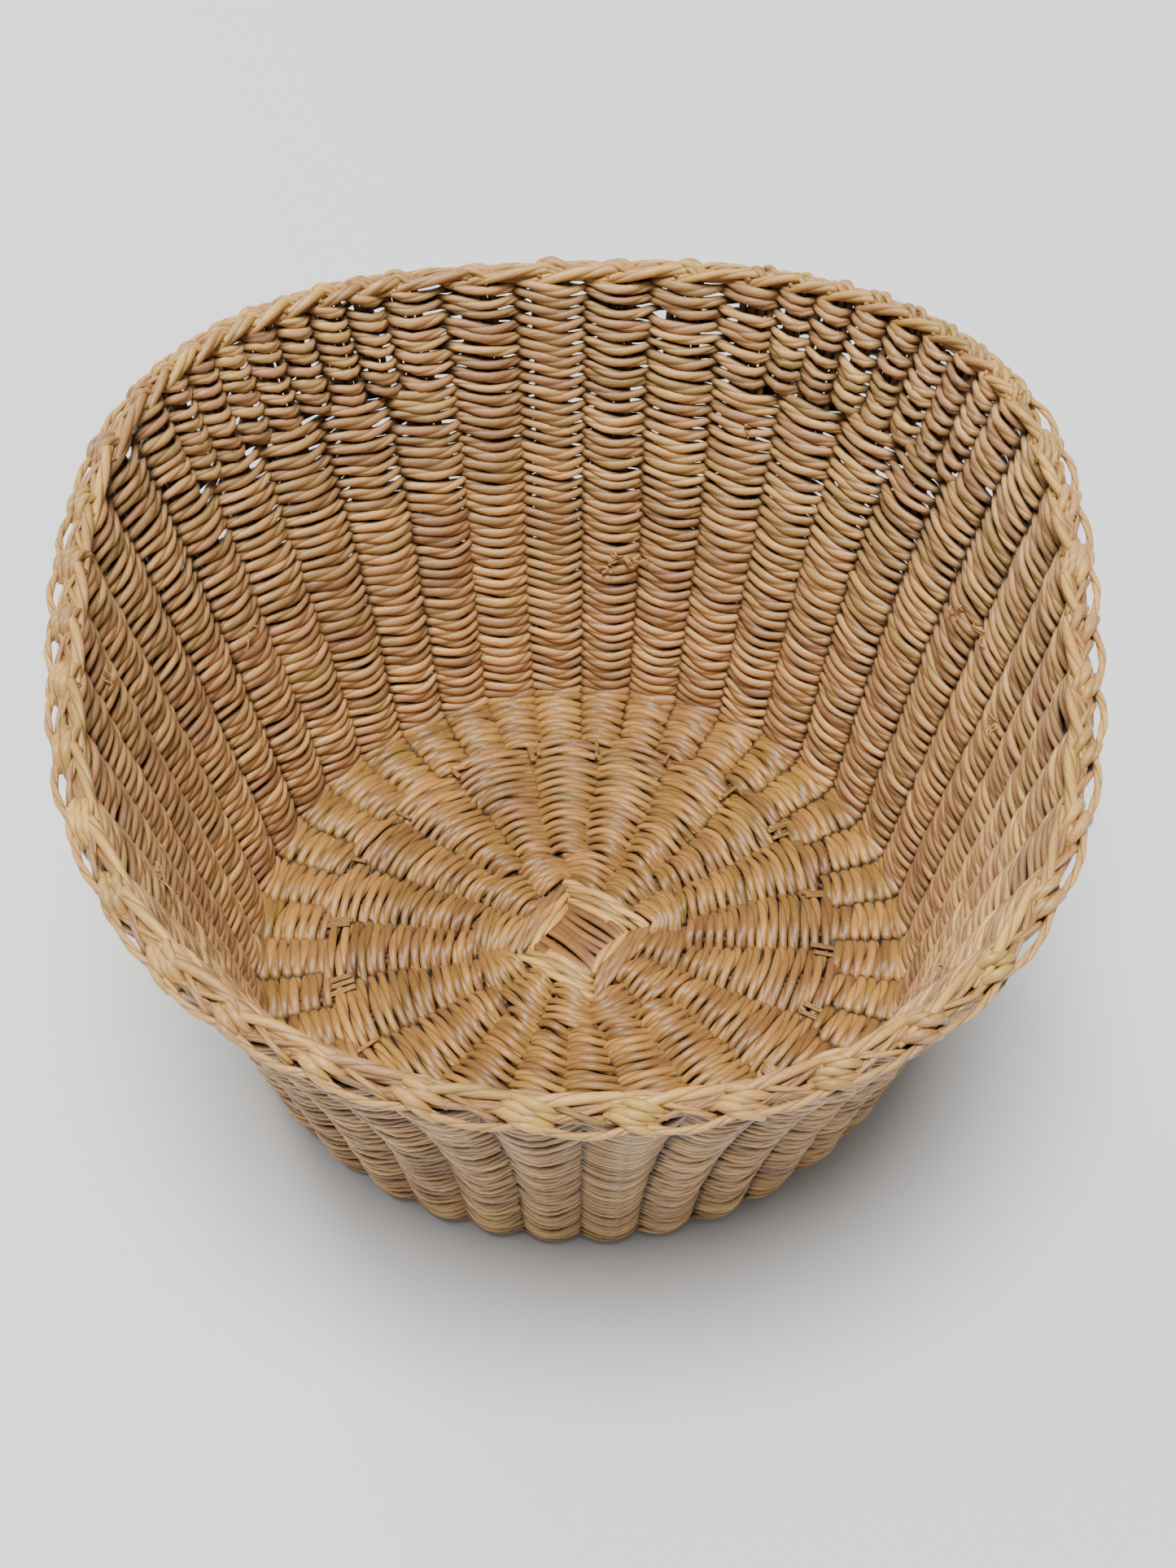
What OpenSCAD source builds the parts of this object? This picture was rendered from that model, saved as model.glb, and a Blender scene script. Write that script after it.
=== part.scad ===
// Round hand-twined straw bread basket: radiating ribs, a weft of paired strands on both faces, and a cord border.
// Millimetres, Z up, origin at the centre of the base, front towards -Y. Azimuths run from +Y towards +X.

/* [Floor] */
// Inside radius of the floor, at the crease with the wall
floor_r = 78; // [60:1:120]
// Thickness of the weave over a rib
weave_t = 5.8; // [4:0.1:9]
// Radius of the opening in the floor weft that holds the cross
cross_r = 14.5; // [10:0.5:20]
// Number of straws in each layer of the cross
cross_straws = 9; // [5:1:13]
// Direction of the upper layer of the cross, in degrees from +X
cross_turn = -40; // [-90:1:90]
// Radius at which each floor spoke gives way to two wall ribs
split_r = 61; // [40:1:70]

/* [Wall] */
// Number of wall ribs, twice the number of floor spokes
ribs = 40; // [24:2:60]
// Thickness of the weave in the groove between two ribs
groove_t = 3; // [2:0.1:5]
// Slope of the wall at the floor, in degrees from upright
foot_slope = 11; // [0:1:30]
// Thickness of a rib
rib_t = 1.8; // [1:0.1:3]
// Width of a rib as a fraction of the rib pitch
rib_w = 0.52; // [0.3:0.02:0.56]
// Azimuth of the first rib
rib_turn = -4.5; // [-9:0.5:9]
// Free space between two neighbouring pieces
gap = 0.06; // [0.02:0.01:0.2]

/* [Rim] */
// Mean inside radius of the rim
rim_r = 110.5; // [90:0.5:150]
// Mean height of the top of the wall
rim_h = 125.5; // [60:0.5:160]
// How far the rim leans to the front
rim_lean = 2.4; // [0:0.2:8]
// Extra reach of the rim to the front and back
rim_oval = 5.6; // [0:0.2:10]
// How far the front is drawn out and the back pressed flat
rim_point = 2.2; // [0:0.2:6]
// How far the rim is squared off
rim_square = 3.8; // [0:0.2:8]
// Twist of the rim outline to one side
rim_skew = 0.9; // [0:0.1:3]
// Rise of the rim at its left and right
rim_rise = 4.9; // [0:0.1:10]

/* [Border] */
// Radius of the thick cord on the inner edge
inner_cord_r = 1.6; // [1:0.1:2.5]
// Radius of the thin cord on the outer edge
outer_cord_r = 1.3; // [0.8:0.1:2.5]
// Width of a knot along the rim
knot_w = 6.5; // [4:0.5:10]
// Thickness of the straw that makes a knot
knot_t = 1.5; // [1:0.1:2.5]

/* [Hidden] */
half_t = weave_t / 2;
half_groove = groove_t / 2;
half_rib = rib_t / 2;
rib_step = 360 / ribs;
spokes = ribs / 2;
spoke_step = 360 / spokes;
floor_edge = floor_r - 1.5;
short_t = 0.8;
// Wall stations: floor edge, corner, then fractions of the wall's height
wall_at = [-2, -1, 0.03, 0.27, 0.53, short_t, 1];
// The gaps between ribs that hold a short rib near the top, counted from the back
short_right = [3, 4, 5, 6];
short_left = [34, 35, 36, 37];
straw_pitch = 1.95;
straw_r = 0.93;
window = cross_straws * straw_pitch + 0.2;
// Half the flat side that a pressed straw of the lower layer rests on
straw_flat = 0.55;

// Inside radius and height of the rim at azimuth a
function rim_radius(a) = rim_r - rim_lean * cos(a) + rim_oval * cos(2 * a) - rim_point * cos(3 * a)
    - rim_square * cos(4 * a) + rim_skew * sin(3 * a);
function rim_height(a) = rim_h - rim_rise * cos(2 * a);

// Inside face of the wall in its upright plane, as a curve from the crease to the rim: [radius, height]
function foot() = [floor_r, weave_t];
function top(a) = [rim_radius(a), rim_height(a)];
function knee(a) = foot() + norm(top(a) - foot()) / 2 * [sin(foot_slope), cos(foot_slope)];
function curve(a, t) = (1 - t) * (1 - t) * foot() + 2 * t * (1 - t) * knee(a) + t * t * top(a);
function slope(a, t) = (1 - t) * (knee(a) - foot()) + t * (top(a) - knee(a));
function outward(a, t) = [slope(a, t)[1], -slope(a, t)[0]] / norm(slope(a, t));

// Inside face and outward normal at a station: -2 floor edge, -1 corner, 0 to 1 the wall
function face_at(a, t) = t == -2 ? [floor_edge, weave_t] : t == -1 ? [floor_r - 0.1, weave_t + 0.3] : curve(a, t);
function normal_at(a, t) = t == -2 ? [0, -1] : t == -1 ? [0.72, -0.69] : outward(a, t);

function place(a, rz) = [rz[0] * sin(a), rz[0] * cos(a), rz[1]];
// A point of the wall, d outwards from the middle of the weave
function wall_point(a, t, d) = place(a, face_at(a, t) + normal_at(a, t) * (half_t + d));
// A point of the floor at radius r, d below the middle of the weave
function floor_point(a, r, d) = place(a, [r, half_t - d]);
// A point of the border, d outwards from the middle of the wall and h above its top
function rim_point_at(a, d, h) = place(a, curve(a, 1) + outward(a, 1) * (half_t + d)
    + [-outward(a, 1)[1], outward(a, 1)[0]] * h);

// Share of full thickness at a quarter step q of a rib pitch: 0 over the rib, 2 in the groove
share = [1, 0.78, 0, 0.78];
function bulge(q) = share[q % 4];
// Grooves that hold a short rib are filled out at the top of the wall
function is_short(k) = len([for (s = concat(short_left, short_right)) if (s == k) s]) > 0;
function wall_bulge(q, t) = q % 4 == 2 && t >= short_t && is_short(floor(q / 4)) ? 0.78 : bulge(q);
function skin_at(b) = half_groove + (half_t - half_groove) * b;
function core_at(b) = gap / 2 + (half_rib + gap) * b;

function flat(rows) = [for (row = rows) for (p = row) p];
// Two triangles of the four-sided patch a b c d
function patch(a, b, c, d) = [[a, b, c], [a, c, d]];
// Patches between neighbouring rows of n points, m rows, first point number k; turned the other way if flip
function mantle(n, m, k, flip) = [for (i = [0 : m - 2]) for (j = [0 : n - 1])
    let (p = k + i * n + j, q = k + i * n + (j + 1) % n)
    for (t = flip ? patch(p, p + n, q + n, q) : patch(p, q, q + n, p + n)) t];

// Closed ring between two faces given as rows of points, the outer face first
module ring(outer, inner) {
    n = len(outer[0]);
    m = len(outer);
    k = n * m;
    first = [for (j = [0 : n - 1]) for (t = patch(j, k + j, k + (j + 1) % n, (j + 1) % n)) t];
    last = [for (j = [0 : n - 1])
        for (t = patch(k - n + j, k - n + (j + 1) % n, 2 * k - n + (j + 1) % n, 2 * k - n + j)) t];
    polyhedron(flat(concat(outer, inner)), concat(mantle(n, m, 0, false), mantle(n, m, k, true), first, last),
        convexity = 8);
}

// Closed bar through rows of points, each row one cross-section
module bar(rows) {
    n = len(rows[0]);
    m = len(rows);
    start = [for (j = [1 : n - 2]) [0, j + 1, j]];
    end = [for (j = [1 : n - 2]) [(m - 1) * n, (m - 1) * n + j, (m - 1) * n + j + 1]];
    polyhedron(flat(rows), concat(mantle(n, m, 0, false), start, end), convexity = 4);
}

// Flat straw bundle, six corners: w is its half width in degrees and h its half thickness
function bundle(w, h) = [[-w, 0], [-w / 2, -h], [w / 2, -h], [w, 0], [w / 2, h], [-w / 2, h]];

module wall_rib(k) {
    a = rib_turn + k * rib_step;
    half_w = rib_step * rib_w / 2;
    in_floor = [for (c = bundle(half_w, half_rib)) floor_point(a + c[0], split_r, c[1])];
    in_wall = [for (t = wall_at) [for (c = bundle(half_w, half_rib)) wall_point(a + c[0], t, c[1])]];
    color("darkkhaki") bar(concat([in_floor], in_wall));
}

module short_ribs(slots) {
    half_w = rib_step * 0.15;
    for (s = slots) {
        a = rib_turn + (s + 0.5) * rib_step;
        color("khaki") bar([for (t = [short_t, 1])
            [for (c = bundle(half_w, half_rib * 0.7)) wall_point(a + c[0], t + (t < 1 ? 0.02 : 0), c[1])]]);
    }
}

module wall_weft(side) {
    steps = [0 : 4 * ribs - 1];
    skin = [for (t = wall_at) [for (q = steps)
        wall_point(rib_turn + q * rib_step / 4, t, side * skin_at(wall_bulge(q, t)))]];
    core = [for (t = wall_at) [for (q = steps)
        wall_point(rib_turn + q * rib_step / 4, t, side * core_at(wall_bulge(q, t)))]];
    color(side > 0 ? "burlywood" : "tan") {
        if (side > 0) ring(skin, core);
        else ring(core, skin);
    }
}

module floor_weft(radii, step, side) {
    steps = [0 : round(1440 / step) - 1];
    skin = [for (r = radii) [for (q = steps) floor_point(rib_turn + q * step / 4, r, side * skin_at(bulge(q)))]];
    core = [for (r = radii) [for (q = steps) floor_point(rib_turn + q * step / 4, r, side * core_at(bulge(q)))]];
    color(side > 0 ? "burlywood" : "tan") {
        if (side > 0) ring(skin, core);
        else ring(core, skin);
    }
}

module floor_spokes() {
    for (s = [0 : spokes - 1]) {
        a = rib_turn + s * spoke_step;
        w = [spoke_step * 0.26, spoke_step * 0.2];
        color("darkkhaki") bar([
            [for (c = bundle(w[0], half_rib)) floor_point(a + c[0], cross_r + 0.1, c[1])],
            [for (c = bundle(w[1], half_rib)) floor_point(a + c[0], split_r - 0.3, c[1])]
        ]);
    }
}

module cross_upper() {
    for (s = [0 : cross_straws - 1])
        color("peru")
            rotate([0, 0, cross_turn])
                translate([0, (s - (cross_straws - 1) / 2) * straw_pitch, half_t + straw_r + 0.03])
                    rotate([0, 90, 0])
                        cylinder(h = window - 0.2, r = straw_r, center = true, $fn = 16);
}

// The lower layer is pressed flat where the basket stands on it
module cross_lower() {
    top_z = half_t - 0.03;
    shoulder = straw_r - straw_flat;
    side = [[-straw_r, top_z - shoulder], [-straw_r, shoulder], [-straw_flat, 0]];
    section = concat(side, [for (i = [2 : -1 : 0]) [-side[i][0], side[i][1]]],
        [[straw_flat, top_z], [-straw_flat, top_z]]);
    for (s = [0 : cross_straws - 1])
        color("peru")
            rotate([0, 0, cross_turn + 90])
                translate([0, (s - (cross_straws - 1) / 2) * straw_pitch, 0])
                    rotate([90, 0, 90])
                        linear_extrude(window - 0.2, center = true)
                            polygon(section);
}

module cross_binding() {
    color("burlywood")
        translate([0, 0, 0.7])
            linear_extrude(weave_t - 1)
                difference() {
                    circle(r = cross_r - gap, $fn = 64);
                    rotate(cross_turn) square(window, center = true);
                }
}

module cord(r, d, h) {
    rows = [for (q = [0 : 2 * ribs - 1]) [for (c = [0 : 5])
        rim_point_at(q * rib_step / 2, d + r * cos(c * 60), h + r * sin(c * 60))]];
    n = 6;
    m = 2 * ribs;
    polyhedron(flat(rows), [for (i = [0 : m - 1]) for (j = [0 : n - 1])
        let (p = i * n, q = ((i + 1) % m) * n, o = (j + 1) % n)
        for (t = patch(p + j, p + o, q + o, q + j)) t], convexity = 6);
}

cord_gap = 0.08;
inner_cord_d = -1.7;
outer_cord_d = 2.6;

module border_inner_cord() {
    color("wheat") cord(inner_cord_r, inner_cord_d, inner_cord_r + cord_gap);
}

module border_outer_cord() {
    color("wheat") cord(outer_cord_r, outer_cord_d, outer_cord_r + cord_gap);
}

// A knot is a rib end folded over both cords
module knot(a, w) {
    inner_x = inner_cord_d - inner_cord_r - 0.25;
    outer_x = outer_cord_d + outer_cord_r + 0.25;
    top_h = 2 * inner_cord_r + cord_gap + 0.25;
    half_a = w / 2 / rim_r * 180 / PI;
    path = [
        [inner_x, 0.3, -knot_t, 0], [inner_x, top_h - 0.6, -knot_t, 0.3], [inner_x + 0.9, top_h, -0.6, knot_t],
        [outer_x - 0.9, top_h, 0.6, knot_t], [outer_x, top_h - 0.8, knot_t, 0.3], [outer_x, 0.3, knot_t, 0]
    ];
    bar([for (p = path) [
        rim_point_at(a - half_a, p[0], p[1]), rim_point_at(a + half_a, p[0], p[1]),
        rim_point_at(a + half_a * 0.6, p[0] + p[2], p[1] + p[3]),
        rim_point_at(a - half_a * 0.6, p[0] + p[2], p[1] + p[3])
    ]]);
}

module border_knots() {
    color("goldenrod") {
        for (k = [0 : ribs - 1]) knot(rib_turn + k * rib_step, knot_w);
        for (s = concat(short_left, short_right)) knot(rib_turn + (s + 0.5) * rib_step, knot_w * 0.8);
    }
}

cross_upper();
cross_lower();
cross_binding();
floor_spokes();
floor_weft([cross_r, 38, split_r - 0.1], spoke_step, -1);  // floor_weft_inner_upper
floor_weft([cross_r, 38, split_r - 0.1], spoke_step, 1);  // floor_weft_inner_lower
floor_weft([split_r, floor_edge - gap], rib_step, -1);  // floor_weft_outer_upper
floor_weft([split_r, floor_edge - gap], rib_step, 1);  // floor_weft_outer_lower
wall_weft(-1);  // wall_weft_inside
wall_weft(1);  // wall_weft_outside
short_ribs(short_left);  // short_ribs_left
short_ribs(short_right);  // short_ribs_right
border_inner_cord();
border_outer_cord();
border_knots();
wall_rib(0);  // rib_01
wall_rib(1);  // rib_02
wall_rib(2);  // rib_03
wall_rib(3);  // rib_04
wall_rib(4);  // rib_05
wall_rib(5);  // rib_06
wall_rib(6);  // rib_07
wall_rib(7);  // rib_08
wall_rib(8);  // rib_09
wall_rib(9);  // rib_10
wall_rib(10);  // rib_11
wall_rib(11);  // rib_12
wall_rib(12);  // rib_13
wall_rib(13);  // rib_14
wall_rib(14);  // rib_15
wall_rib(15);  // rib_16
wall_rib(16);  // rib_17
wall_rib(17);  // rib_18
wall_rib(18);  // rib_19
wall_rib(19);  // rib_20
wall_rib(20);  // rib_21
wall_rib(21);  // rib_22
wall_rib(22);  // rib_23
wall_rib(23);  // rib_24
wall_rib(24);  // rib_25
wall_rib(25);  // rib_26
wall_rib(26);  // rib_27
wall_rib(27);  // rib_28
wall_rib(28);  // rib_29
wall_rib(29);  // rib_30
wall_rib(30);  // rib_31
wall_rib(31);  // rib_32
wall_rib(32);  // rib_33
wall_rib(33);  // rib_34
wall_rib(34);  // rib_35
wall_rib(35);  // rib_36
wall_rib(36);  // rib_37
wall_rib(37);  // rib_38
wall_rib(38);  // rib_39
wall_rib(39);  // rib_40
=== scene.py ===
import math
import bpy
import numpy as np
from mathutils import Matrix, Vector


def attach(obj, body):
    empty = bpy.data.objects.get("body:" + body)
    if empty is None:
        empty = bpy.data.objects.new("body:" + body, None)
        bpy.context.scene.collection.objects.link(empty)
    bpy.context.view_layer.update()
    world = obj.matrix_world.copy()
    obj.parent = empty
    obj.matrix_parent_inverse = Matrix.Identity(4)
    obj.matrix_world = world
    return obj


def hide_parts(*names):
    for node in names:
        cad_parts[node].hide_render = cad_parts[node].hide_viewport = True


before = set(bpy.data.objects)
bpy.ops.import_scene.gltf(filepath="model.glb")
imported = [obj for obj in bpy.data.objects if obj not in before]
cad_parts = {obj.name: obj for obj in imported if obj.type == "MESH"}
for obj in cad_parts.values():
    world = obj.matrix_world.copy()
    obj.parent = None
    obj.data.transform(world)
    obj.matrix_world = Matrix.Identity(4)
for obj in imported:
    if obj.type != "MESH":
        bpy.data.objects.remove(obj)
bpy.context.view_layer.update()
bpy.ops.object.select_all(action="DESELECT")
print("frame loaded")

# the basket's own shape, in millimetres, as in the part
shape = dict(ribs=40, turn=-4.5, floorR=78.0, half=2.9, footSlope=11.0, rimR=110.5, lean=2.4, oval=5.6,
             point=2.2, square=3.8, skew=0.9, rimH=125.5, rise=4.9, shortAt=0.8,
             shortGaps=(3, 4, 5, 6, 34, 35, 36, 37))
edgeR = 76.0        # where the flat floor starts to turn up
cornerLen = 9.0     # length of the turn, along the weave
cornerKnee = 80.8   # where the floor and wall lines meet
cornerTop = 0.03    # share of the wall's height that the turn takes
wallLen = 121.0     # nominal length of the wall, foot to rim


def rad(a):
    return np.radians(a)


def rimTop(a):
    a = rad(a)
    r = (shape["rimR"] - shape["lean"] * np.cos(a) + shape["oval"] * np.cos(2 * a)
         - shape["point"] * np.cos(3 * a)
         - shape["square"] * np.cos(4 * a) + shape["skew"] * np.sin(3 * a))
    return r, shape["rimH"] - shape["rise"] * np.cos(2 * a)


def wallMid(a, t):
    # middle of the weave at share t of the wall's height
    footR, footZ = shape["floorR"], 2 * shape["half"]
    topR, topZ = rimTop(a)
    leg = np.hypot(topR - footR, topZ - footZ) / 2
    kneeR = footR + leg * math.sin(rad(shape["footSlope"]))
    kneeZ = footZ + leg * math.cos(rad(shape["footSlope"]))
    r = (1 - t) ** 2 * footR + 2 * t * (1 - t) * kneeR + t * t * topR
    z = (1 - t) ** 2 * footZ + 2 * t * (1 - t) * kneeZ + t * t * topZ
    dr = (1 - t) * (kneeR - footR) + t * (topR - kneeR)
    dz = (1 - t) * (kneeZ - footZ) + t * (topZ - kneeZ)
    n = np.hypot(dr, dz)
    return r + dz / n * shape["half"], z - dr / n * shape["half"]


def midLine(a, q):
    # q runs along the weave: below 0 the floor, then the turn, then the wall
    a, q = np.broadcast_arrays(np.asarray(a, float), np.asarray(q, float))
    r = edgeR + np.minimum(q, 0)
    z = np.full_like(r, shape["half"])
    b = np.clip(q / cornerLen, 0, 1)
    endR, endZ = wallMid(a, cornerTop)
    turnR = (1 - b) ** 2 * edgeR + 2 * b * (1 - b) * cornerKnee + b * b * endR
    turnZ = (1 - b) ** 2 * shape["half"] + 2 * b * (1 - b) * shape["half"] + b * b * endZ
    t = cornerTop + np.maximum(q - cornerLen, 0) / (wallLen * (1 - cornerTop)) * (1 - cornerTop)
    upR, upZ = wallMid(a, t)
    r = np.where(q > 0, turnR, r)
    z = np.where(q > 0, turnZ, z)
    return np.where(q > cornerLen, upR, r), np.where(q > cornerLen, upZ, z)


rimQ = cornerLen + wallLen * (1 - cornerTop)    # q at the top of the wall


def sway(a, q):
    # slow unevenness of the ribs, in degrees
    up = np.clip(q / 60, 0, 1)
    return up * (0.55 * np.sin(rad(3 * a + q * 1.3)) + 0.35 * np.sin(rad(7 * a - q * 2.1 + 40)))


def onWeave(a, q, d, h):
    # point d out of the middle of the weave and h along it, with its outward normal
    q = np.asarray(q, float) + h
    e = 0.4
    r0, z0 = midLine(a, q - e)
    r1, z1 = midLine(a, q + e)
    r, z = midLine(a, q)
    n = np.hypot(r1 - r0, z1 - z0)
    nr, nz = (z1 - z0) / n, -(r1 - r0) / n
    b = rad(a + sway(a, q))
    p = np.stack([(r + nr * d) * np.sin(b), (r + nr * d) * np.cos(b), z + nz * d], -1)
    return p, np.stack([nr * np.sin(b), nr * np.cos(b), nz], -1)


class Strands:
    # collects swept strands and makes one mesh of them
    def __init__(self, name, seed=1):
        self.name, self.random = name, np.random.RandomState(seed)
        self.verts, self.faces, self.uvs, self.caps = [], [], [], []
        self.tints, self.shades = [], []
        self.count = 0

    def sweep(self, path, normals, wide, thick, tint, sides=10, lobes=0.09, twist=0.35,
              closed=False, start=0.0, face=None, insideShadeLift=0.42):
        # path in millimetres, wide and thick are half sizes, twist is turns per centimetre,
        # face is +1 where the outer side is the open one and -1 where the inner side is, and it places the
        # painted shade
        n = len(path)
        if closed:
            along = np.roll(path, -1, 0) - np.roll(path, 1, 0)
        else:
            along = np.gradient(path, axis=0)
        along /= np.linalg.norm(along, axis=1)[:, None]
        side = np.cross(along, normals)
        side /= np.linalg.norm(side, axis=1)[:, None]
        out = np.cross(side, along)
        step = np.linalg.norm(np.diff(path, axis=0), axis=1)
        length = start + np.concatenate([[0], np.cumsum(step)])
        angle = np.arange(sides) / sides * 2 * math.pi
        turn = length / 10 * twist * 2 * math.pi
        if closed:
            whole = (length[-1] + np.linalg.norm(path[0] - path[-1]) - start) / 10 * twist
            turn = (length - start) * max(1, round(whole)) * 2 * math.pi / (whole / twist * 10)
        ripple = 1 - 0.4 * lobes + lobes * np.cos(2 * (angle[None, :] - turn[:, None]))
        wide, thick = np.broadcast_to(wide, n), np.broadcast_to(thick, n)
        ring = (side[:, None, :] * (wide[:, None] * np.cos(angle) * ripple)[:, :, None]
                + out[:, None, :] * (thick[:, None] * np.sin(angle) * ripple)[:, :, None])
        self.verts.append((path[:, None, :] + ring).reshape(-1, 3))
        # painted shade: the straw is painted darker where it is tucked between its neighbours and where the
        # strands cross
        if face is None:
            open_ = np.ones((n, sides))
        else:
            tuck = np.where(face > 0, 0.06, insideShadeLift)[:, None]
            open_ = np.clip((np.sin(angle)[None, :] * face[:, None] + tuck) / 0.85, 0, 1)
            # painted shade: the whole outer side is painted darker than the inner side
            open_ = open_ * np.where(face > 0, 0.72, 1.0)[:, None]
        self.shades.append((open_ * open_ * (3 - 2 * open_)).ravel())
        rows = n if closed else n - 1
        i, k = np.meshgrid(np.arange(rows), np.arange(sides), indexing="ij")
        j, l = (i + 1) % n, (k + 1) % sides
        self.faces.append((np.stack([i * sides + k, j * sides + k, j * sides + l, i * sides + l], -1)
                           + self.count).reshape(-1, 4))
        # the seam-free coordinate turns with the twist, so creases follow the straw
        u0, u1 = length[i], np.where(i + 1 < n, length[j], length[-1] + 1.0)
        v0, v1 = k / sides, (k + 1) / sides
        spin0, spin1 = turn[i] / (2 * math.pi), turn[j] / (2 * math.pi)
        if closed:
            spin1 = np.where(i + 1 < n, spin1, max(1, round(whole)))
        corners = [(u0, v0 - spin0), (u1, v0 - spin1), (u1, v1 - spin1), (u0, v1 - spin0)]
        self.uvs.append(np.stack([np.stack(c, -1) for c in corners], -2).reshape(-1, 2))
        tint = np.broadcast_to(tint, (n, 3))
        self.tints.append(np.repeat(tint, sides, 0))
        if not closed:
            first = list(range(self.count, self.count + sides))
            last = list(range(self.count + (n - 1) * sides, self.count + n * sides))[::-1]
            self.caps += [(first, length[0]), (last, length[-1])]
        self.count += n * sides

    def build(self, material, replaced):
        verts = np.concatenate(self.verts) / 1000
        verts[:, 2] = np.maximum(verts[:, 2], 0)    # pressed flat on the table
        quads = np.concatenate(self.faces)
        faces = quads.tolist() + [c[0] for c in self.caps]
        mesh = bpy.data.meshes.new(self.name)
        mesh.from_pydata(verts.tolist(), [], faces)
        capUvs = [np.array([[at, k / len(ring)] for k in range(len(ring))]) for ring, at in self.caps]
        uv = np.concatenate(self.uvs + capUvs)
        mesh.uv_layers.new(name="straw").data.foreach_set("uv", uv.astype(np.float32).ravel())
        tint = mesh.color_attributes.new("tint", "FLOAT_COLOR", "POINT")
        colour = np.ones((len(verts), 4), np.float32)
        colour[:, :3] = np.concatenate(self.tints)
        tint.data.foreach_set("color", colour.ravel())
        # the painted shade, kept on each point for the material
        shade = mesh.attributes.new("shade", "FLOAT", "POINT")
        shade.data.foreach_set("value", np.concatenate(self.shades).astype(np.float32))
        smooth = np.ones(len(faces), bool)
        smooth[len(quads):] = False
        mesh.polygons.foreach_set("use_smooth", smooth)
        mesh.validate()
        piece = bpy.data.objects.new(self.name, mesh)
        bpy.context.scene.collection.objects.link(piece)
        piece.data.materials.append(material)
        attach(piece, "root")
        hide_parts(*replaced)
        print(self.name, len(quads) * 2, "triangles")


def wander(random, count, size):
    # one value for each float, no two neighbours far apart
    raw = random.normal(0, 1, count + 2)
    return size * (raw[:-2] * 0.35 + raw[1:-1] * 0.75 + raw[2:] * 0.35)


def between(values, at):
    # smooth step from one float's value to the next
    k = np.clip(np.floor(at).astype(int), 0, len(values) - 2)
    f = np.clip(at - k, 0, 1)
    f = f * f * (3 - 2 * f)
    return values[k] * (1 - f) + values[k + 1] * f


def strawTint(random, floats):
    # x: golden to pinkish brown, y: dark to light, z: olive, changing every few floats
    run = np.cumsum(random.rand(floats + 2) < 0.24)
    pick = random.rand(run[-1] + 1, 3)
    tone = np.stack([pick[run, 0] ** 1.6, pick[run, 1], pick[run, 2] ** 3], -1)
    tone += random.normal(0, 0.13, tone.shape)
    return np.clip(tone, 0, 1)


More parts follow.
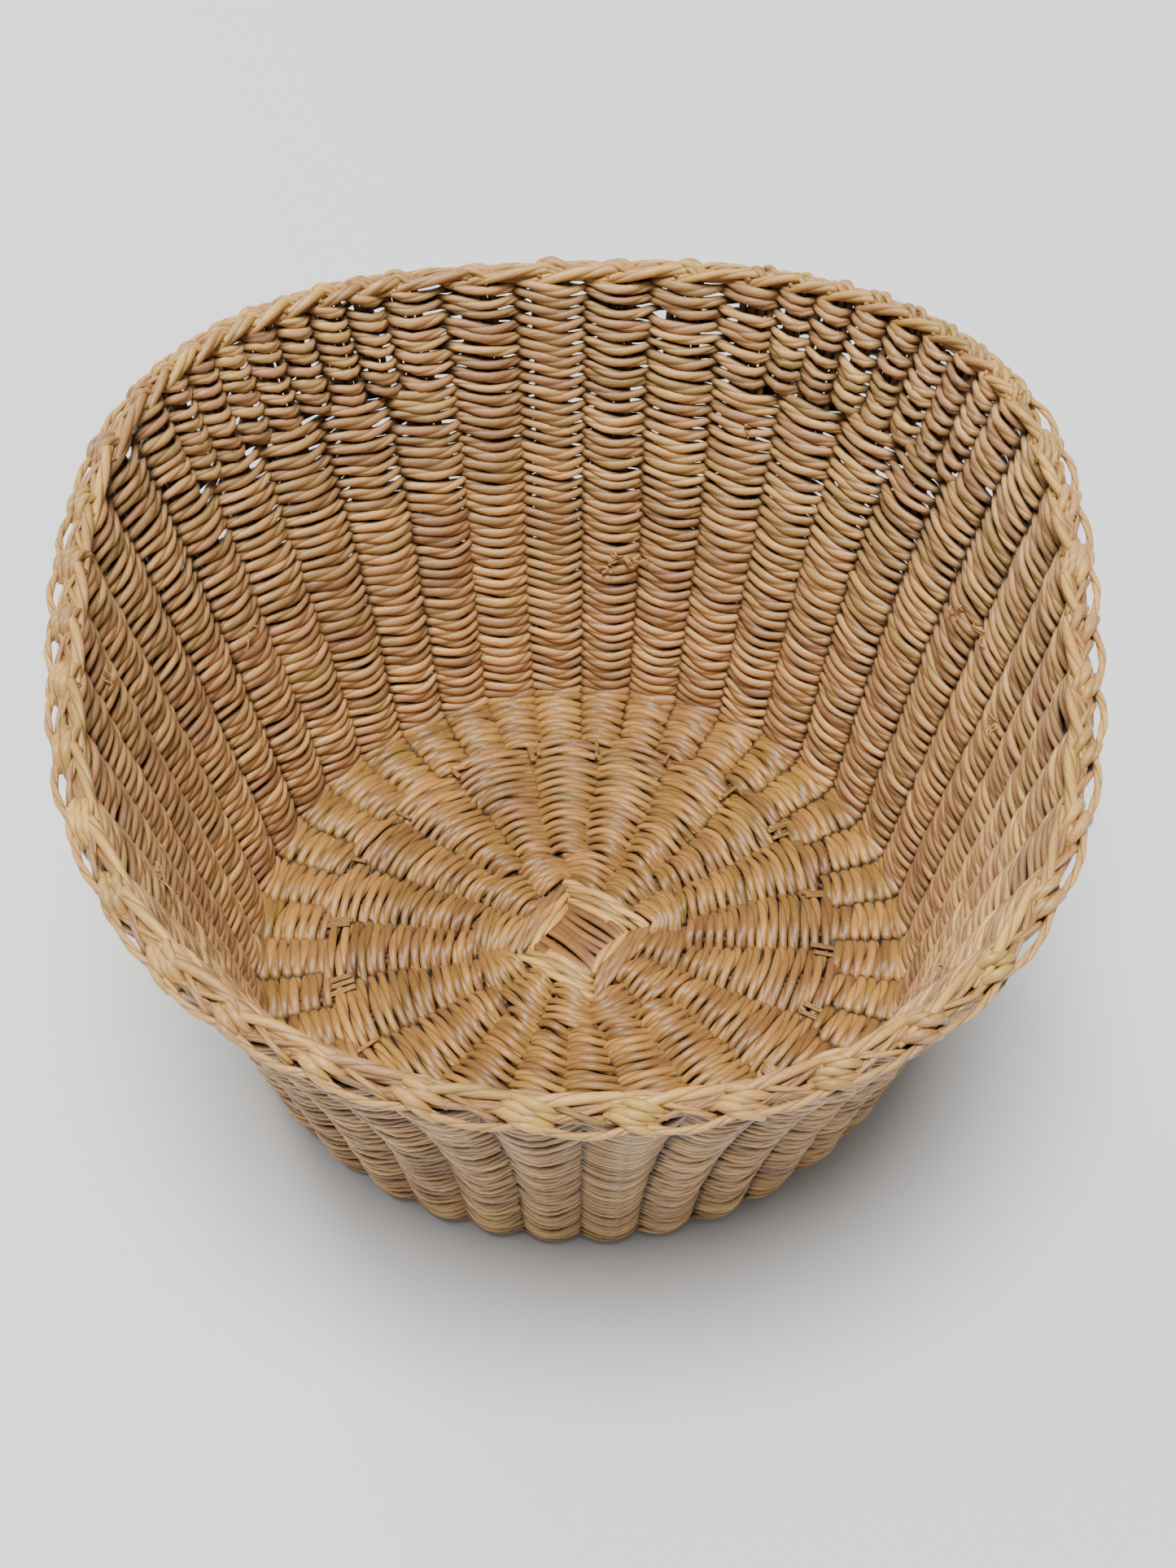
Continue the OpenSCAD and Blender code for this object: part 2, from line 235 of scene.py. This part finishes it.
# straw, one recipe for every piece, with the settings of each
def strawMaterial(name, golden, brown, olive, rough, crease=1.0):
    material = bpy.data.materials.new(name)
    material.use_nodes = True
    tree = material.node_tree
    nodes, links = tree.nodes, tree.links
    shader = nodes["Principled BSDF"]

    def node(kind, **values):
        made = nodes.new(kind)
        for key, value in values.items():
            setattr(made, key, value)
        return made

    def math2(operation, a, b=None):
        made = node("ShaderNodeMath", operation=operation)
        for n, value in enumerate((a, b)):
            if value is None:
                continue
            if isinstance(value, (int, float)):
                made.inputs[n].default_value = value
            else:
                links.new(value, made.inputs[n])
        return made.outputs[0]

    def mix(blend, factor, a, b):
        made = node("ShaderNodeMix", data_type="RGBA", blend_type=blend)
        for socket, value in ((made.inputs[0], factor), (made.inputs[6], a), (made.inputs[7], b)):
            if isinstance(value, (int, float)):
                socket.default_value = value
            elif isinstance(value, tuple):
                socket.default_value = value + (1,)
            else:
                links.new(value, socket)
        return made.outputs[2]

    def mapRange(value, low, high, toLow, toHigh):
        made = node("ShaderNodeMapRange", interpolation_type="SMOOTHSTEP")
        links.new(value, made.inputs[0])
        for n, number in enumerate((low, high, toLow, toHigh)):
            made.inputs[n + 1].default_value = number
        return made.outputs[0]

    tint = node("ShaderNodeAttribute", attribute_name="tint")
    shade = node("ShaderNodeAttribute", attribute_name="shade")
    parts = node("ShaderNodeSeparateColor")
    links.new(tint.outputs["Color"], parts.inputs[0])
    uv = node("ShaderNodeUVMap", uv_map="straw")
    place = node("ShaderNodeTexCoord")
    split = node("ShaderNodeSeparateXYZ")
    links.new(uv.outputs[0], split.inputs[0])
    along, around = split.outputs[0], split.outputs[1]

    # a point on the surface of the straw: its angle wraps round, so nothing shows a seam
    angle = math2("MULTIPLY", around, 2 * math.pi)
    wrap = node("ShaderNodeCombineXYZ")
    links.new(math2("MULTIPLY", math2("COSINE", angle), 1.6), wrap.inputs[0])
    links.new(math2("MULTIPLY", math2("SINE", angle), 1.6), wrap.inputs[1])
    links.new(math2("MULTIPLY", along, 0.09), wrap.inputs[2])
    fibres = node("ShaderNodeTexNoise")
    fibres.inputs["Scale"].default_value = 4.2
    fibres.inputs["Detail"].default_value = 4
    fibres.inputs["Roughness"].default_value = 0.6
    links.new(wrap.outputs[0], fibres.inputs["Vector"])
    patches = node("ShaderNodeTexNoise")
    patches.inputs["Scale"].default_value = 55
    patches.inputs["Detail"].default_value = 3
    links.new(place.outputs["Object"], patches.inputs["Vector"])
    specks = node("ShaderNodeTexNoise")
    specks.inputs["Scale"].default_value = 900
    specks.inputs["Detail"].default_value = 2
    links.new(place.outputs["Object"], specks.inputs["Vector"])

    # two creases, where one flattened straw folds over the next
    fold = math2("ABSOLUTE", math2("COSINE", angle))
    cut = mapRange(fold, 0.0, 0.34, 1.0, 0.0)
    shoulder = mapRange(fold, 0.0, 0.8, 0.0, 1.0)

    colour = mix("MIX", mapRange(parts.outputs[0], 0.15, 0.95, 0.0, 0.9), golden, brown)
    colour = mix("MIX", mapRange(parts.outputs[2], 0.35, 1.0, 0.0, 0.8), colour, olive)
    colour = mix("MIX", mapRange(patches.outputs[0], 0.42, 0.68, 0.0, 0.45), colour, brown)
    bright = node("ShaderNodeHueSaturation")
    links.new(colour, bright.inputs["Color"])
    links.new(mapRange(parts.outputs[1], 0.0, 1.0, 0.74, 1.24), bright.inputs["Value"])
    streaks = mixRamp(node, links, fibres.outputs[0], (0.30, (0.52, 0.44, 0.36)), (0.62, (1.12, 1.10, 1.06)))
    colour = mix("MULTIPLY", 0.55, bright.outputs[0], streaks)
    # painted shade: the creases are darkened in the colour, as well as shaped by the bump
    colour = mix("MIX", math2("MULTIPLY", cut, 0.68 * crease), colour, (0.11, 0.055, 0.022))
    colour = mix("MULTIPLY", mapRange(specks.outputs[0], 0.60, 0.72, 0.0, 0.22), colour, (0.45, 0.30, 0.20))
    # painted shade: the colour goes nearly black where the shade attribute is low
    colour = mix("MIX", mapRange(shade.outputs["Fac"], 0.0, 1.0, 0.97, 0.0), colour, (0.020, 0.009, 0.003))
    links.new(colour, shader.inputs["Base Color"])

    links.new(mapRange(fibres.outputs[0], 0.3, 0.7, rough - 0.09, rough + 0.14), shader.inputs["Roughness"])
    # the painted shade also turns the reflection down, on the outside and where the straw is tucked in
    links.new(mapRange(shade.outputs["Fac"], 0.70, 0.95, 0.18, 0.6), shader.inputs["Specular IOR Level"])
    shader.inputs["Sheen Weight"].default_value = 0.05
    shader.inputs["Coat Weight"].default_value = 0.10
    shader.inputs["Coat Roughness"].default_value = 0.24

    relief = math2("ADD", math2("MULTIPLY", shoulder, 0.8 * crease),
                   math2("MULTIPLY", fibres.outputs[0], 0.55))
    bump = node("ShaderNodeBump")
    bump.inputs["Strength"].default_value = 0.75
    bump.inputs["Distance"].default_value = 0.0004
    links.new(relief, bump.inputs["Height"])
    links.new(bump.outputs[0], shader.inputs["Normal"])
    return material


def mixRamp(node, links, value, low, high):
    ramp = node("ShaderNodeValToRGB")
    ramp.color_ramp.elements[0].position, ramp.color_ramp.elements[0].color = low[0], low[1] + (1,)
    ramp.color_ramp.elements[1].position, ramp.color_ramp.elements[1].color = high[0], high[1] + (1,)
    links.new(value, ramp.inputs[0])
    return ramp.outputs[0]


wallStraw = strawMaterial("wall_straw", (0.68, 0.405, 0.158),
                          (0.46, 0.240, 0.115), (0.53, 0.355, 0.11), rough=0.30)
floorStraw = strawMaterial("floor_straw", (0.455, 0.240, 0.060),
                           (0.31, 0.147, 0.049), (0.35, 0.218, 0.046), rough=0.27)
ribStraw = strawMaterial("rib_straw", (0.24, 0.12, 0.04),
                         (0.14, 0.065, 0.022), (0.16, 0.09, 0.022), rough=0.5)
crossStraw = strawMaterial("cross_straw", (0.36, 0.175, 0.050),
                           (0.24, 0.105, 0.036), (0.29, 0.165, 0.04), rough=0.34, crease=0.6)
borderStraw = strawMaterial("border_straw", (0.65, 0.385, 0.105),
                            (0.41, 0.205, 0.080), (0.49, 0.325, 0.066), rough=0.30)
print("materials made")


# the weft: two strands twined round the ribs, row on row
def columnPhase(a, q):
    # half turns from the first rib; a short rib adds one half turn
    at = (a - shape["turn"]) / (360 / shape["ribs"])
    k = np.floor(at)
    f = at - k
    lap = np.floor(k / shape["ribs"])
    slot = k - lap * shape["ribs"]
    shortHere = np.isin(slot, shape["shortGaps"])
    before = np.searchsorted(np.array(sorted(shape["shortGaps"])), slot)
    high = q > cornerLen + wallLen * (shape["shortAt"] - cornerTop)
    extra = np.where(high, before + np.where(shortHere, f, 0), 0)
    return k + f + extra + lap * np.where(high, len(shape["shortGaps"]), 0)


weft = dict(swing=2.85, sideSwing=2.3, rise=1.05, sag=0.75, sideSag=0.1, wide=1.56, thick=1.2,
            tipWide=1.42, tipThick=1.02, steps=8, pitch=3.06, grow=0.0035, topGap=0.2,
            rows=[-13.0, -10.3, -7.6, -4.9, -2.2, 0.55, 3.35, 6.2])
q, pitch = weft["rows"][-1], weft["pitch"]
while q + pitch < rimQ - weft["topGap"]:
    q += pitch
    weft["rows"].append(q)
    pitch += weft["grow"]
print(len(weft["rows"]), "rows on forty ribs, the last", round(rimQ - weft["rows"][-1], 2), "below the top")


# places where the weave has parted, as rib angle, place along the weave, size
holes = [(11.0, 115.5, 1.5), (-47.0, 108.0, 1.0), (-72.0, 101.0, 0.9), (38.0, 118.0, 0.8),
         (-18.0, 112.0, 0.7)]
# torn straw ends, as rib angle, place along the weave, how many, length
torn = [(7.0, 49.0, 7, 6.0), (3.5, 47.0, 4, 4.0), (-121.5, 96.0, 8, 7.0), (-58.0, 62.0, 3, 5.0),
        (74.0, 85.0, 4, 6.0), (88.0, 81.0, 3, 4.5), (67.5, 80.0, 3, 4.5), (-96.0, 112.0, 3, 5.0),
        (132.0, 90.0, 3, 5.0), (24.0, 92.0, 2, 4.0)]


def tornStraw(band, a0, q0, count, length):
    # flat splinters that stand off the inside of the weave
    random = band.random
    for s in range(count):
        t = np.linspace(0, 1, 7)
        heading, curl = random.uniform(0, 2 * math.pi), random.uniform(-1.2, 1.2)
        run = length * random.uniform(0.45, 1.0)
        along = run * (t * np.cos(heading) + curl * 0.3 * t * t * np.sin(heading)) + random.normal(0, 1.0)
        up = run * 0.6 * (t * np.sin(heading) - curl * 0.3 * t * t * np.cos(heading)) + random.normal(0, 0.8)
        d = -2.6 - 1.9 * np.sin(t * random.uniform(1.6, 2.8))
        r, z = midLine(a0, q0)
        p, n = onWeave(a0 + np.degrees(along / r), q0, d, up)
        tint = np.clip(np.array([0.3, 0.85, 0.15]) + random.normal(0, 0.2, 3), 0, 1)
        thin = 1 - 0.75 * t
        band.sweep(p, n, random.uniform(0.35, 1.15) * thin, 0.16 * np.ones(7), tint, sides=6,
                   lobes=0.0, twist=0.0, start=random.uniform(0, 400))


def weftBand(name, rows, seed, material, replaced):
    band = Strands(name, seed)
    random = band.random
    ringSteps = shape["ribs"] * weft["steps"]
    a = shape["turn"] + np.arange(ringSteps) / ringSteps * 360
    for row in rows:
        base = weft["rows"][row]
        for strand in (0, 1):
            at = columnPhase(a, base)
            floats = int(round(columnPhase(a[0] + 360, base)))
            high = np.clip((base - 60) / 50, 0, 1)
            flat = np.clip(-base / 10, 0, 1)      # the floor is a little thinner than the wall

            def varied(size):
                values = wander(random, floats, size)
                return between(np.append(values, values[0]), at)

            jitter, lift, fat = varied(0.17) * (1 + 0.9 * high), varied(0.15), 1 + varied(0.10)
            tone = strawTint(random, floats)[:floats]
            tone = np.concatenate([tone, tone[:1]])
            tint = np.stack([between(tone[:, m], at) for m in range(3)], -1)
            phi = (at + strand) * math.pi
            hump = np.abs(np.cos(phi))
            low = np.clip(1 - base / 16, 0, 1)
            side = np.sin(rad(a)) ** 2            # the side walls are woven flatter
            swing = weft["swing"] + (weft["sideSwing"] - weft["swing"]) * side
            sag = weft["sag"] + (weft["sideSag"] - weft["sag"]) * side
            # inside, then outside: the weave is pressed thin where it lies on the table
            reach = np.where(np.cos(phi) > 0, swing - 0.9 * low, swing + 0.35 - 1.6 * low)
            d = -reach * np.sign(np.cos(phi)) * hump ** (1 - 0.2 * flat) + lift * (1 - 0.4 * low)
            h = -weft["rise"] * np.sin(phi) * (1 - 0.14 * flat) + jitter - sag * (hump - 0.6) * (1 - low)
            h = h + high * 0.35 * np.sin(rad(9 * a + 70 * row))
            for holeA, holeQ, size in holes:
                offA, offQ = (a - holeA + 180) % 360 - 180, base - holeQ
                h = h + size * np.sign(offQ) * np.exp(-(offA / 3.2) ** 2 - (offQ / 5.0) ** 2)
            p, n = onWeave(a, base, d, h)
            slim = (1.05 - 0.10 * high) * (1 - 0.06 * flat)
            tipWide = weft["tipWide"] - 0.30 * np.clip((base - 55) / 30, 0, 1)
            wide = (tipWide + (weft["wide"] - tipWide) * hump) * fat * slim
            thick = (weft["tipThick"] + (weft["thick"] - weft["tipThick"]) * hump) * (1 - 0.06 * flat)
            band.sweep(p, n, wide, thick, tint, twist=0.42 + random.uniform(-0.06, 0.06),
                       start=random.uniform(0, 400), lobes=0.17, closed=True,
                       face=-np.sign(np.cos(phi)) * hump ** 0.3)
    for a0, q0, count, length in torn:
        if weft["rows"][rows[0]] <= q0 < weft["rows"][rows[-1]] + weft["pitch"]:
            tornStraw(band, a0, q0, count, length)
    return band.build(material, replaced)


weftBand("floor_weft_outer", range(0, 7), 11, floorStraw,
         ["floor_weft_outer_upper", "floor_weft_outer_lower"])
wallRows = np.array_split(np.arange(7, len(weft["rows"])), 3)
for n, label in enumerate(("low", "middle", "high")):
    weftBand("wall_weft_" + label, wallRows[n], 21 + n, wallStraw,
             ["wall_weft_inside", "wall_weft_outside"])


# the inner floor: square rows round the cross, then twelve columns, then twenty
inner = dict(squareRows=[8.4, 10.5, 12.7], twelveRows=[15.1, 17.5, 19.9, 22.3, 24.7], arm=31.0, steps=9,
             twentyRows=[27.2 + 2.6 * n for n in range(14)])


def floorRows(strands, rows, columns, centre, squareness, size, stepsEach):
    random = strands.random
    for row, radius in enumerate(rows):
        for strand in (0, 1):
            count = columns * stepsEach
            a = np.arange(count) / count * 360
            drift = 1.1 * np.sin(rad(3 * a + radius * 4)) + 0.8 * np.sin(rad(5 * a - radius * 7))
            phase = (a + drift - centre) / (360 / columns) + strand
            phi = phase * math.pi
            at = a / 360 * columns
            noiseA = wander(random, columns, 0.17)
            jitter = between(np.append(noiseA, noiseA[:1]), at)
            noiseB = wander(random, columns, 0.14)
            lift = between(np.append(noiseB, noiseB[:1]), at)
            tone = strawTint(random, columns)[:columns]
            tone = np.concatenate([tone, tone[:1]])
            tint = np.stack([between(tone[:, m], at) for m in range(3)], -1)
            off = (a - inner["arm"] + 45) % 90 - 45
            square = 1 / np.cos(rad(off)) - 1
            r = radius * (1 + squareness[row] * square) + jitter - size["rise"] * np.sin(phi)
            reach = np.where(np.cos(phi) > 0, size["swing"] + size["crown"], size["swing"])
            d = -reach * np.sign(np.cos(phi)) * np.abs(np.cos(phi)) ** size["flatness"] + lift
            p = np.stack([r * np.sin(rad(a)), r * np.cos(rad(a)), shape["half"] - d], -1)
            n = np.tile([0.0, 0.0, -1.0], (count, 1))
            c2 = np.abs(np.cos(phi)) ** size["flatness"]
            wide = size["tip"] + (size["wide"] - size["tip"]) * c2
            thick = size["tip"] * 0.95 + (size["thick"] - size["tip"] * 0.95) * c2
            strands.sweep(p, n, wide, thick, tint, twist=0.42 + random.uniform(-0.06, 0.06),
                          lobes=0.17, closed=True, start=random.uniform(0, 400),
                          face=-np.sign(np.cos(phi)) * np.abs(np.cos(phi)) ** 0.2, insideShadeLift=0.52)


binding = Strands("cross_binding_straw", 31)
floorRows(binding, inner["squareRows"], 4, inner["arm"], [1.0, 0.97, 0.9],
          dict(swing=1.6, crown=0.6, rise=0.7, wide=1.5, thick=0.95, tip=0.95, flatness=0.5), 24)
binding.build(borderStraw, ["cross_binding"])
innerWeft = Strands("floor_weft_inner", 41)
floorRows(innerWeft, inner["twelveRows"], 12, 7.5, [0.8, 0.55, 0.32, 0.15, 0.05],
          dict(swing=1.6, crown=0.7, rise=0.9, wide=1.32, thick=1.05, tip=1.0, flatness=0.8), 12)
floorRows(innerWeft, inner["twentyRows"], 20, shape["turn"], [0] * 14,
          dict(swing=1.7, crown=0.75, rise=1.0, wide=1.42, thick=1.12, tip=1.16, flatness=0.9),
          inner["steps"])
# cut ends of the stakes that were pushed in beside the spokes
stubs = dict(groups=20, foot=57.0, length=6.5, over=2.5, dip=1.6)
for stub in range(stubs["groups"]):
    random = innerWeft.random
    a0 = shape["turn"] + (stub + 0.5) * 18 + random.normal(0, 0.8)
    for s in range(random.randint(1, 4)):
        t = np.linspace(0, 1, 5)
        r = stubs["foot"] + stubs["length"] * t + random.normal(0, 0.8)
        b = rad(a0 + random.normal(0, 1.1))
        z = shape["half"] + stubs["over"] + random.uniform(0.1, 0.8) - stubs["dip"] * t
        p = np.stack([r * np.sin(b), r * np.cos(b), z], -1)
        innerWeft.sweep(p, np.tile([0.0, 0.0, -1.0], (5, 1)), random.uniform(0.45, 0.75), 0.42,
                        random.rand(3) * 0.6 + 0.3, sides=7, lobes=0.05, twist=0.1)
innerWeft.build(floorStraw, ["floor_weft_inner_upper", "floor_weft_inner_lower"])


# the ribs: flat bundles of straws, seen only where the rows part
rib = dict(straws=4, spacing=1.85, radius=0.92, foot=-15.0, steps=26)


def ribPiece(number):
    name = "rib_%02d" % (number + 1)
    bundle = Strands(name + "_straws", 100 + number)
    random = bundle.random
    a0 = shape["turn"] + number * 360 / shape["ribs"]
    q = np.linspace(rib["foot"], rimQ + 1.2, rib["steps"])
    for s in range(rib["straws"]):
        r, z = midLine(a0, q)
        across = (s - (rib["straws"] - 1) / 2) * rib["spacing"] * np.clip(r / 88, 0.8, 1.2)
        across += random.normal(0, 0.12, len(q))
        p, n = onWeave(a0 + np.degrees(across / r), q, random.normal(0, 0.08, len(q)), 0)
        tone = random.rand(3)
        bundle.sweep(p, n, rib["radius"] * random.uniform(0.9, 1.1) * np.clip(r / 88, 0.82, 1.18), 0.78,
                     tone, sides=8, twist=0.05, lobes=0.05)
    bundle.build(ribStraw, [name])


for number in range(shape["ribs"]):
    ribPiece(number)

shortRib = dict(straws=3, spacing=1.5, radius=0.75, steps=8)
for name, gaps in (("short_ribs_right", (3, 4, 5, 6)), ("short_ribs_left", (34, 35, 36, 37))):
    bundle = Strands(name + "_straws", 150 + gaps[0])
    for gap in gaps:
        a0 = shape["turn"] + (gap + 0.5) * 360 / shape["ribs"]
        q = np.linspace(rimQ - 0.2 * wallLen, rimQ + 1.0, shortRib["steps"])
        for s in range(shortRib["straws"]):
            r, z = midLine(a0, q)
            across = (s - 1) * shortRib["spacing"] + bundle.random.normal(0, 0.08, len(q))
            p, n = onWeave(a0 + np.degrees(across / r), q, 0.0, 0)
            bundle.sweep(p, n, shortRib["radius"], 0.7, bundle.random.rand(3), sides=8, twist=0.05,
                         lobes=0.05)
    bundle.build(ribStraw, [name])

spoke = dict(count=20, straws=4, inside=13.0, outside=61.5, steps=12, level=2.9)
spokes = Strands("floor_spokes_straws", 160)
for s in range(spoke["count"]):
    a0 = shape["turn"] + s * 18
    r = np.linspace(spoke["inside"], spoke["outside"], spoke["steps"])
    for k in range(spoke["straws"]):
        across = (k - 1.5) * np.interp(r, [13, 61], [0.95, 1.75])
        b = rad(a0) + across / r
        p = np.stack([r * np.sin(b), r * np.cos(b), np.full(len(r), spoke["level"])], -1)
        spokes.sweep(p, np.tile([0.0, 0, -1], (len(r), 1)), np.interp(r, [13, 61], [0.55, 0.88]), 0.78,
                     spokes.random.rand(3), sides=8, twist=0.05, lobes=0.05)
spokes.build(ribStraw, ["floor_spokes"])
print("ribs made")

# the cross in the middle of the floor
cross = dict(straws=9, pitch=1.95, length=19.5, radius=1.12)
for name, turn, z, crown in (("cross_upper", -41, 3.5, 1.0), ("cross_lower", 49, 1.5, -0.35)):
    layer = Strands(name + "_straws", 170 + turn)
    for s in range(cross["straws"]):
        t = np.linspace(-1, 1, 15)
        x = t * cross["length"] / 2
        y = (s - (cross["straws"] - 1) / 2) * cross["pitch"] + layer.random.normal(0, 0.35) * (1 - t * t)
        y = y + layer.random.normal(0, 0.4) * t + 0.3 * np.sin(t * 2.2 + s)
        lift = z + crown * (1 - np.abs(t) ** 3) + layer.random.normal(0, 0.14) * (1 - t * t)
        c, k = math.cos(math.radians(turn)), math.sin(math.radians(turn))
        p = np.stack([x * c - y * k, x * k + y * c, lift], -1)
        tone = np.array([0.6, 0.45, 0.1]) + layer.random.normal(0, 0.25, 3)
        layer.sweep(p, np.tile([0.0, 0, -1.0], (15, 1)), cross["radius"] * layer.random.uniform(0.9, 1.12),
                    0.86, np.clip(tone, 0, 1), sides=12, twist=0.12, lobes=0.05)
    layer.build(crossStraw, [name])


# the border: two cords held by knots, with thin strands crossing between the knots
def onRim(a, d, h):
    return onWeave(a, rimQ, d, h)


knotAngles = sorted([shape["turn"] + k * 9.0 for k in range(40)]
                    + [shape["turn"] + (g + 0.5) * 9.0 for g in shape["shortGaps"]])
border = dict(outerR=0.86, innerR=1.22, knotR=1.28, runnerR=0.72, coreR=1.25, knotLong=4.3,
              knotReach=1.7, knotApart=2.9)


def knotPhase(a):
    # whole numbers at the knots
    ring = np.array(knotAngles + [knotAngles[0] + 360])
    return np.interp((a - ring[0]) % 360 + ring[0], ring, np.arange(len(ring)))


def strandTone(random):
    tone = np.array([random.rand() ** 1.8 * 0.8, 0.45 + 0.5 * random.rand(), random.rand() ** 2])
    return np.clip(tone + random.normal(0, 0.1, 3), 0, 1)


a = np.arange(0, 360, 0.6)
phase = knotPhase(a)
loop = np.abs(np.sin(phase * math.pi))
outerCord = Strands("border_outer_cord_straw", 181)
bow = between(np.append(outerCord.random.uniform(0.8, 2.1, 48), 1.2), phase)
p, n = onRim(a, 2.3 + bow * loop, 1.2 + 0.6 * loop + 0.2 * np.sin(rad(a * 7)))
tone = np.stack([between(outerCord.random.rand(50) * 0.6, phase),
                 between(0.4 + 0.6 * outerCord.random.rand(50), phase),
                 between(outerCord.random.rand(50) * 0.5, phase)], -1)
outerCord.sweep(p, n, border["outerR"], border["outerR"] * 0.95, tone, lobes=0.12, twist=0.8, closed=True)
outerCord.build(borderStraw, ["border_outer_cord"])

# the inner cord is laid in lengths, each starting under the one before
innerCord = Strands("border_inner_cord_straw", 182)
for k, a0 in enumerate(knotAngles):
    a1 = (knotAngles + [knotAngles[0] + 360])[k + 1]
    random = innerCord.random
    keys = [-0.30, 0.0, 0.3, 0.65, 1.0, 1.36]
    t = np.linspace(keys[0], keys[-1], 24)
    d = np.interp(t, keys, [0.9, -0.9, -2.3, -2.7, -2.3, -1.5]) + random.normal(0, 0.12)
    h = np.interp(t, keys, [0.7, 2.5, 2.4, 1.6, 0.5, -0.7]) + random.normal(0, 0.12)
    d, h = (np.convolve(np.pad(v, 2, "edge"), np.ones(5) / 5, "valid") for v in (d, h))
    p, n = onRim(a1 + (a0 - a1) * t, d, h)
    fat = np.interp(t, [keys[0], 0.05, 0.5, 1.1, keys[-1]], [0.7, 1.05, 1.15, 0.95, 0.6])
    fat = fat * random.uniform(0.88, 1.12)
    innerCord.sweep(p, n, border["innerR"] * fat, border["innerR"] * 0.9 * fat, strandTone(random),
                    lobes=0.12, twist=0.4, start=random.uniform(0, 300))
innerCord.build(borderStraw, ["border_inner_cord"])

knots = Strands("border_knots_straw", 183)
# the bent-over stakes make a brown core between the cords
for turnOff, coreD in ((0.0, -0.9), (2.1, 0.7)):
    a = np.arange(0, 360, 0.9)
    p, n = onRim(a, coreD + 0.5 * np.sin(rad(a * 20 + 60 * turnOff)),
                 0.7 + 0.35 * np.sin(rad(a * 13 + 50 * turnOff)))
    core = np.stack([0.75 + 0.25 * np.sin(rad(a * 17)), 0.3 + 0.2 * np.sin(rad(a * 23)), 0.1 + 0 * a], -1)
    knots.sweep(p, n, border["coreR"], border["coreR"] * 0.8, core, lobes=0.15, twist=0.5, closed=True)
for k, a0 in enumerate(knotAngles):
    random = knots.random
    perDeg = rimTop(a0)[0] * math.pi / 180
    a1 = (knotAngles + [knotAngles[0] + 360])[k + 1]
    short = min(a0 - knotAngles[k - 1] if k else 9, a1 - a0) < 6
    size = 0.66 if short else random.uniform(0.86, 1.08)
    tone = strandTone(random)
    tone[2] = max(tone[2], random.rand() * 0.8)
    wraps = 3 if random.rand() < 0.45 and not short else 2
    for w in range(wraps):
        # a straw that climbs over from the inner cord and tucks in behind the outer one
        t = np.linspace(0, 1, 14)
        side = (w - (wraps - 1) / 2) * border["knotApart"] * 2 / wraps
        along = border["knotLong"] * size * (1 - 2 * t) + side * 0.55 + random.normal(0, 0.25)
        d = 0.5 + side * 0.75 + border["knotReach"] * (2 * t - 1) * random.uniform(0.85, 1.2)
        h = -0.1 + (3.35 + random.normal(0, 0.2) - 0.3 * w) * np.sin(t * math.pi) ** 0.65
        p, n = onRim(a0 + along / perDeg, d, h)
        up = np.cross(np.gradient(p, axis=0), n)
        fat = (0.72 + 0.36 * np.sin(t * math.pi)) * random.uniform(0.88, 1.12) * (0.85 if short else 1)
        knots.sweep(p, up, border["knotR"] * fat, border["knotR"] * 0.86 * fat,
                    np.clip(tone + random.normal(0, 0.08, 3), 0, 1), lobes=0.12, twist=0.5,
                    start=random.uniform(0, 300))
    # thin strands cross the channel between this knot and the next
    for way in ((1, -1) if not short and random.rand() < 0.6 else (1,)):
        t = np.linspace(0, 1, 12)
        reach = 0.62 if way > 0 else 0.9
        a = a0 + (a1 - a0) * ((1 - reach) / 2 + reach * t + (0.08 if way > 0 else 0))
        d = way * (2.5 - 5.0 * t) * random.uniform(0.85, 1.0)
        h = 0.6 + (1.7 if way > 0 else 1.1) * np.sin(t * math.pi) ** 0.7
        p, n = onRim(a, d, h)
        tone = strandTone(random)
        tone[0] = 0.5 + 0.5 * random.rand()
        knots.sweep(p, n, border["runnerR"] * random.uniform(0.85, 1.25), border["runnerR"], tone, lobes=0.1,
                    twist=0.5, start=random.uniform(0, 300))
knots.build(borderStraw, ["border_knots"])
print("border made")

# floor, light and camera
bpy.ops.mesh.primitive_plane_add(size=16, location=(0, 0, -0.0002))
ground = bpy.context.object
ground.name = "ground"
paint = bpy.data.materials.new("ground_paint")
paint.use_nodes = True
paint.node_tree.nodes["Principled BSDF"].inputs["Base Color"].default_value = (0.77, 0.79, 0.82, 1)
paint.node_tree.nodes["Principled BSDF"].inputs["Roughness"].default_value = 0.45
ground.data.materials.append(paint)

world = bpy.data.worlds.new("studio")
bpy.context.scene.world = world
world.use_nodes = True
world.node_tree.nodes["Background"].inputs[0].default_value = (1.0, 0.98, 0.95, 1)
world.node_tree.nodes["Background"].inputs[1].default_value = 0.30


def softSun(name, towards, spread, power, colour):
    data = bpy.data.lights.new(name, "SUN")
    data.angle, data.energy, data.color = math.radians(spread), power, colour
    lamp = bpy.data.objects.new(name, data)
    lamp.rotation_euler = Vector(towards).to_track_quat("-Z", "Y").to_euler()
    bpy.context.scene.collection.objects.link(lamp)


softSun("key", (0.045, 0.16, -1.0), 26, 5.3, (1.0, 0.99, 0.97))
softSun("window", (0.50, -0.85, -0.55), 18, 1.4, (1.0, 0.93, 0.82))

eye = dict(elevation=51.646, distance=0.6711, target=(0.0019, 0.0499, 0.0023), lens=59.73)
cameraData = bpy.data.cameras.new("camera")
cameraData.lens = eye["lens"]
camera = bpy.data.objects.new("camera", cameraData)
tilt = math.radians(eye["elevation"])
forward = Vector((0, math.cos(tilt), -math.sin(tilt)))
camera.location = Vector(eye["target"]) - forward * eye["distance"]
camera.rotation_euler = (math.pi / 2 - tilt, 0, 0)
bpy.context.scene.collection.objects.link(camera)
bpy.context.scene.camera = camera
